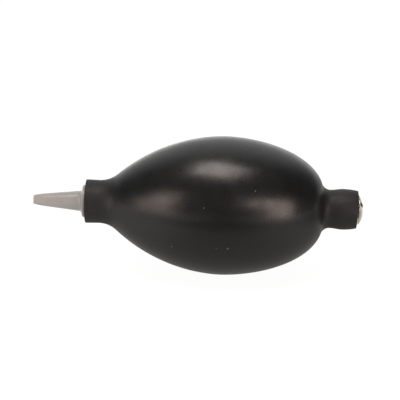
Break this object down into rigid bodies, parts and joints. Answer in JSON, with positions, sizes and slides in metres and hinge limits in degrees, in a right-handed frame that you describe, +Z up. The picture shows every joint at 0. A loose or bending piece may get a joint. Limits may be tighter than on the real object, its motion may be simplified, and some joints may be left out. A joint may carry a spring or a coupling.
{
  "type": "dust blower bulb",
  "caption": "Hand-squeezed rubber bulb that blows dust off fine work through a slim push-fit nozzle and refills through a sprung ball inlet valve.",
  "frame": {"origin": "on the common axis, half way between the nozzle's tip and the crown of the inlet cap", "axes": "+X along the axis from the nozzle towards the inlet valve, +Z up, with the thumb's side of the bulb on top and the bench below"},
  "size_m": [0.121, 0.0508, 0.0508],
  "materials": {
    "bulb_rubber": "satin black moulded rubber with a fine bloom",
    "nozzle_plastic": "satin warm grey moulded plastic, slightly translucent",
    "valve_nickel": "polished nickel plating on brass",
    "spring_steel": "drawn stainless wire",
    "ball_steel": "polished steel",
    "seat_rubber": "dark nitrile rubber"
  },
  "bodies": {
    "root": {"bulb_body": "bulb_rubber", "valve_housing": "valve_nickel", "inlet_cap": "valve_nickel", "valve_spring": "spring_steel", "valve_seat_washer": "seat_rubber"},
    "thumb_wall": {"bulb_thumb_wall": "bulb_rubber"},
    "nozzle": {"nozzle": "nozzle_plastic"},
    "valve_ball": {"valve_ball": "ball_steel"}
  },
  "joints": [
    {"name": "squeeze", "type": "slide", "parent": "root", "child": "thumb_wall", "axis": [0, 0, -1], "range_m": [0, 0.02], "stiffness_N_per_m": 750},
    {"name": "inlet_valve_lift", "type": "slide", "parent": "root", "child": "valve_ball", "axis": [-1, 0, 0], "range_m": [0, 0.0012], "stiffness_N_per_m": 30, "springref_m": -0.0005, "deforming": ["valve_spring"]},
    {"name": "nozzle_pull", "type": "slide", "parent": "root", "child": "nozzle", "axis": [-1, 0, 0], "range_m": [0, 0.008]}
  ]
}
